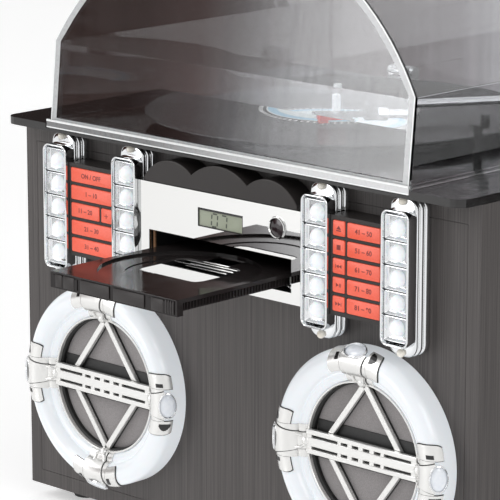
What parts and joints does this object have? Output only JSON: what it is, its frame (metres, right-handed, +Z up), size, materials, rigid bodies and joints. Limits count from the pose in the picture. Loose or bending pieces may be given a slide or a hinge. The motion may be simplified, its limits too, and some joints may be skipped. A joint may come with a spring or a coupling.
{
  "type": "table-top jukebox",
  "caption": "Table-top jukebox: wood cabinet with chrome bulb strips, ring-lit speakers, a sliding disc tray and a belt-driven turntable under an arched clear lid.",
  "frame": {"origin": "centre of the whole object's box, with the tray open, on the plane that the feet stand on", "axes": "+Z up, the keys and the tray face -Y, +X is to the viewer's right"},
  "size_m": [0.47, 0.4506, 0.4902],
  "materials": {
    "black_wood": "satin black stain with vertical grain",
    "black_plastic": "gloss black",
    "chrome_trim": "mirror",
    "clear_acrylic": "clear, polished",
    "diffuser": "glossy milk white",
    "coral_keys": "smooth satin",
    "display": "smooth grey-green",
    "vinyl": "grooved gloss",
    "grey_cloth": "fine weave",
    "steel": "brushed",
    "light_alloy": "polished",
    "black_rubber": "matt",
    "circuit_board": "solder mask",
    "red_cartridge": "smooth"
  },
  "bodies": {
    "case": {"cabinet": "black_wood", "front_baffle": "black_wood", "rear_panel": "black_plastic", "foot_1": "black_rubber", "foot_2": "black_rubber", "foot_3": "black_rubber", "foot_4": "black_rubber", "deck": "black_plastic", "turntable_motor": "steel", "drive_belt": "black_rubber", "arm_base": "black_plastic", "arm_rest": "black_plastic", "hinge_left": "steel", "hinge_right": "steel", "pilaster_1": "chrome_trim", "pilaster_2": "chrome_trim", "pilaster_3": "chrome_trim", "pilaster_4": "chrome_trim", "bulb_bar_1": "diffuser", "bulb_bar_2": "diffuser", "bulb_bar_3": "diffuser", "bulb_bar_4": "diffuser", "fascia": "chrome_trim", "display_lens": "display", "ir_lens": "black_plastic", "crest": "black_plastic", "key_bezel_left": "black_plastic", "key_bezel_right": "black_plastic", "loader_chassis": "black_plastic", "light_ring_left": "diffuser", "light_ring_right": "diffuser", "ring_grille_left": "chrome_trim", "ring_grille_right": "chrome_trim", "speaker_left": "steel", "speaker_right": "steel", "speaker_cloth_left": "grey_cloth", "speaker_cloth_right": "grey_cloth", "main_board": "circuit_board", "transformer": "steel"},
    "lid_body": {"lid": "clear_acrylic"},
    "turning_platter": {"platter": "black_rubber", "record": "vinyl"},
    "turning_pulley": {"motor_pulley": "light_alloy"},
    "arm_carriage": {"arm_yoke": "light_alloy"},
    "arm_tube": {"tonearm": "light_alloy", "headshell": "black_plastic", "cartridge": "red_cartridge"},
    "tray_body": {"cd_tray": "black_plastic"},
    "tray_pinion": {"tray_gear": "diffuser"},
    "power_key": {"key_power": "coral_keys"},
    "lights_key": {"key_lights": "coral_keys"},
    "source_key": {"key_source": "coral_keys"},
    "repeat_key": {"key_repeat": "coral_keys"},
    "volume_up_key": {"key_volume_up": "coral_keys"},
    "volume_down_key": {"key_volume_down": "coral_keys"},
    "eject_key": {"key_eject": "coral_keys"},
    "stop_key": {"key_stop": "coral_keys"},
    "previous_key": {"key_previous": "coral_keys"},
    "play_key": {"key_play": "coral_keys"},
    "next_key": {"key_next": "coral_keys"}
  },
  "joints": [
    {"name": "lid_hinge", "type": "hinge", "parent": "case", "child": "lid_body", "pos_m": [0, 0.2188, 0.3278], "axis": [-1, 0, 0], "range_deg": [0, 68]},
    {"name": "platter_spin", "type": "hinge", "parent": "case", "child": "turning_platter", "pos_m": [-0.027, 0.0463, 0.3183], "axis": [0, 0, 1], "continuous": true},
    {"name": "pulley_spin", "type": "hinge", "parent": "case", "child": "turning_pulley", "pos_m": [-0.08993, 0.10923, 0.3183], "axis": [0, 0, 1], "continuous": true},
    {"name": "arm_swing", "type": "hinge", "parent": "case", "child": "arm_carriage", "pos_m": [0.13, 0.1653, 0.343], "axis": [0, 0, 1], "range_deg": [-5.5, 31.9]},
    {"name": "arm_lift", "type": "hinge", "parent": "arm_carriage", "child": "arm_tube", "pos_m": [0.13, 0.1653, 0.343], "axis": [-0.849, 0.5284, 0], "range_deg": [0, 10]},
    {"name": "tray_slide", "type": "slide", "parent": "case", "child": "tray_body", "axis": [0, 1, 0], "range_m": [0, 0.109]},
    {"name": "pinion_spin", "type": "hinge", "parent": "case", "child": "tray_pinion", "pos_m": [0.0676, -0.1017, 0.2316], "axis": [0, 0, -1], "range_deg": [0, 1250]},
    {"name": "power_key_press", "type": "slide", "parent": "case", "child": "power_key", "axis": [0, 1, 0], "range_m": [0, 0.0012], "stiffness_N_per_m": 400},
    {"name": "lights_key_press", "type": "slide", "parent": "case", "child": "lights_key", "axis": [0, 1, 0], "range_m": [0, 0.0012], "stiffness_N_per_m": 400},
    {"name": "source_key_press", "type": "slide", "parent": "case", "child": "source_key", "axis": [0, 1, 0], "range_m": [0, 0.0012], "stiffness_N_per_m": 400},
    {"name": "repeat_key_press", "type": "slide", "parent": "case", "child": "repeat_key", "axis": [0, 1, 0], "range_m": [0, 0.0012], "stiffness_N_per_m": 400},
    {"name": "volume_up_key_press", "type": "slide", "parent": "case", "child": "volume_up_key", "axis": [0, 1, 0], "range_m": [0, 0.0012], "stiffness_N_per_m": 400},
    {"name": "volume_down_key_press", "type": "slide", "parent": "case", "child": "volume_down_key", "axis": [0, 1, 0], "range_m": [0, 0.0012], "stiffness_N_per_m": 400},
    {"name": "eject_key_press", "type": "slide", "parent": "case", "child": "eject_key", "axis": [0, 1, 0], "range_m": [0, 0.0012], "stiffness_N_per_m": 400},
    {"name": "stop_key_press", "type": "slide", "parent": "case", "child": "stop_key", "axis": [0, 1, 0], "range_m": [0, 0.0012], "stiffness_N_per_m": 400},
    {"name": "previous_key_press", "type": "slide", "parent": "case", "child": "previous_key", "axis": [0, 1, 0], "range_m": [0, 0.0012], "stiffness_N_per_m": 400},
    {"name": "play_key_press", "type": "slide", "parent": "case", "child": "play_key", "axis": [0, 1, 0], "range_m": [0, 0.0012], "stiffness_N_per_m": 400},
    {"name": "next_key_press", "type": "slide", "parent": "case", "child": "next_key", "axis": [0, 1, 0], "range_m": [0, 0.0012], "stiffness_N_per_m": 400}
  ],
  "couplings": [
    {"joint": "pinion_spin", "follows": "tray_slide", "rad_per_m": 200},
    {"joint": "pulley_spin", "follows": "platter_spin", "ratio": 14.5}
  ]
}
